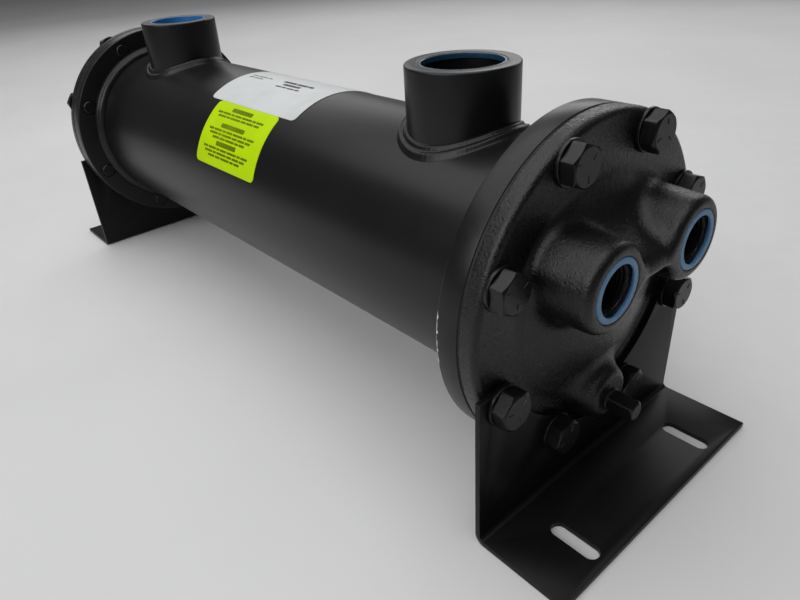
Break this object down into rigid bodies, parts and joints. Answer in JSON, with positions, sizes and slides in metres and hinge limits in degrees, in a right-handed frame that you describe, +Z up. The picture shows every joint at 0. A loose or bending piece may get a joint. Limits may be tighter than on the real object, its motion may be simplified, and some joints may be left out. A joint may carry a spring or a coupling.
{
  "type": "hydraulic oil cooler",
  "caption": "Black two-pass shell-and-tube oil cooler with top oil ports, a bolted domed bonnet with side-by-side water ports, and slotted foot brackets at both ends.",
  "frame": {"origin": "on the mounting plane under the feet, midway between the four foot slots", "axes": "+X along the shell towards the bonnet with the water ports, +Z up along the oil ports"},
  "size_m": [0.656, 0.184, 0.2215],
  "materials": {
    "shell_paint": "semi-gloss black enamel on drawn steel",
    "cast_paint": "semi-gloss black enamel on sand-cast iron",
    "sheet_paint": "satin black powder coat on sheet steel",
    "bolt_paint": "black enamel over plated steel",
    "weld_paint": "black enamel over a weld bead",
    "gasket": "compressed fibre sheet",
    "tube_sheet_brass": "machined naval brass",
    "tube_copper": "drawn copper",
    "baffle_steel": "mill finish",
    "protector_blue": "translucent blue polyethylene",
    "label_white": "matt vinyl",
    "label_yellow": "fluorescent vinyl"
  },
  "bodies": {
    "root": {"shell_tube": "shell_paint", "front_hub_flange": "shell_paint", "rear_hub_flange": "shell_paint", "front_flange_weld": "weld_paint", "rear_flange_weld": "weld_paint", "front_oil_port": "shell_paint", "rear_oil_port": "shell_paint", "front_oil_port_weld": "weld_paint", "rear_oil_port_weld": "weld_paint", "front_oil_thread_protector": "protector_blue", "rear_oil_thread_protector": "protector_blue", "front_tube_sheet": "tube_sheet_brass", "rear_tube_sheet": "tube_sheet_brass", "left_pass_tubes": "tube_copper", "right_pass_tubes": "tube_copper", "baffles": "baffle_steel", "tie_rods": "baffle_steel", "baffle_spacers": "baffle_steel", "tie_rod_nuts": "baffle_steel", "front_gasket": "gasket", "rear_gasket": "gasket", "front_bonnet": "cast_paint", "rear_bonnet": "cast_paint", "left_water_thread_protector": "protector_blue", "right_water_thread_protector": "protector_blue", "drain_plug": "bolt_paint", "front_bracket": "sheet_paint", "rear_bracket": "sheet_paint", "front_bonnet_bolts": "bolt_paint", "rear_bonnet_bolts": "bolt_paint", "front_bracket_bolts": "bolt_paint", "rear_bracket_bolts": "bolt_paint", "front_bolt_washers": "bolt_paint", "rear_bolt_washers": "bolt_paint", "data_label": "label_white", "caution_label": "label_yellow"}
  },
  "joints": []
}
